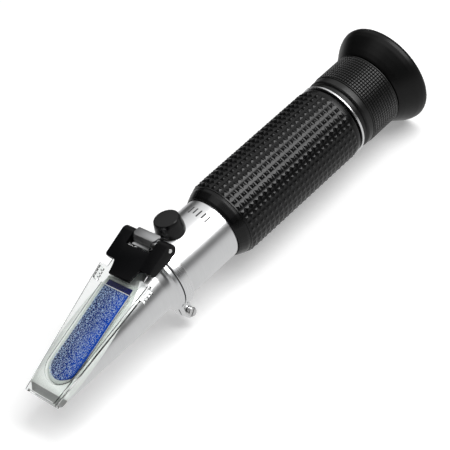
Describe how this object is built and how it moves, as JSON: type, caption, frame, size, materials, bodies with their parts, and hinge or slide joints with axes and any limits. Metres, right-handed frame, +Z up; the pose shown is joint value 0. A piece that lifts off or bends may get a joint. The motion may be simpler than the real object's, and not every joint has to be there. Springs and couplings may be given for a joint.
{
  "type": "handheld refractometer",
  "caption": "Handheld brewing refractometer: oblique prism head under a hinged clear plate, satin barrel, knurled rubber grip, screw-focus eyepiece with flared eyecup.",
  "frame": {"origin": "on the floor under the middle of the instrument as it lies level, at the lowest point of the eyecup", "axes": "+X along the optical axis towards the eyecup, +Z up out of the side that carries the prism face, hinge and calibration cap"},
  "size_m": [0.1682, 0.0368, 0.0369],
  "materials": {
    "satin_metal": "satin nickel-plated, fine turned",
    "steel": "satin",
    "brass": "machined",
    "black_metal": "black anodised, satin",
    "black_plastic": "moulded, satin",
    "black_rubber": "moulded, satin",
    "clear_acrylic": "clear moulded acrylic with a frosted contact face",
    "optical_glass": "polished",
    "prism_glass": "polished, blue"
  },
  "bodies": {
    "barrel": {"barrel_tube": "satin_metal", "prism_head": "satin_metal", "main_prism": "prism_glass", "prism_seal": "black_rubber", "clamp_ring": "satin_metal", "clamp_screw": "steel", "hinge_pin": "steel", "hinge_spring": "steel", "calibration_boss": "satin_metal", "bimetal_strip": "brass", "field_stop": "black_metal", "reticle_seat": "brass", "reticle_glass": "optical_glass", "reticle_retainer": "black_metal", "grip_sleeve": "black_rubber", "grip_end_ring": "satin_metal"},
    "cover": {"hinge_bracket": "black_plastic", "daylight_plate": "clear_acrylic", "plate_screw_left": "steel", "plate_screw_right": "steel"},
    "cap": {"calibration_cap": "black_rubber"},
    "adjuster": {"calibration_screw": "brass"},
    "objective": {"lens_cell": "brass", "objective_lens": "optical_glass", "objective_retainer": "black_metal"},
    "focus_slide": {"focus_friction_ring": "black_plastic"},
    "eyepiece": {"eyepiece_tube": "black_metal", "field_lens": "optical_glass", "lens_spacer": "black_metal", "eye_lens": "optical_glass", "lens_retaining_ring": "black_metal", "eyecup": "black_rubber"}
  },
  "joints": [
    {"name": "cover_hinge", "type": "hinge", "parent": "barrel", "child": "cover", "pos_m": [-0.02858, 0, 0.03235], "axis": [0, 1, 0], "range_deg": [0, 110]},
    {"name": "cap_pull", "type": "slide", "parent": "barrel", "child": "cap", "axis": [0, 0, 1], "range_m": [0, 0.012]},
    {"name": "calibration_turn", "type": "hinge", "parent": "barrel", "child": "adjuster", "pos_m": [-0.01948, 0, 0.02945], "axis": [0, 0, 1], "range_deg": [-180, 180]},
    {"name": "objective_shift", "type": "slide", "parent": "barrel", "child": "objective", "axis": [0, 0, 1], "range_m": [-0.00025, 0.00025]},
    {"name": "eyepiece_turn", "type": "hinge", "parent": "focus_slide", "child": "eyepiece", "pos_m": [0.05772, 0, 0.01845], "axis": [1, 0, 0], "range_deg": [0, 540]},
    {"name": "eyepiece_travel", "type": "slide", "parent": "barrel", "child": "focus_slide", "axis": [1, 0, 0], "range_m": [0, 0.003]}
  ],
  "couplings": [
    {"joint": "calibration_turn", "follows": "objective_shift", "rad_per_m": 12566},
    {"joint": "eyepiece_travel", "follows": "eyepiece_turn", "m_per_rad": 0.00031831}
  ]
}
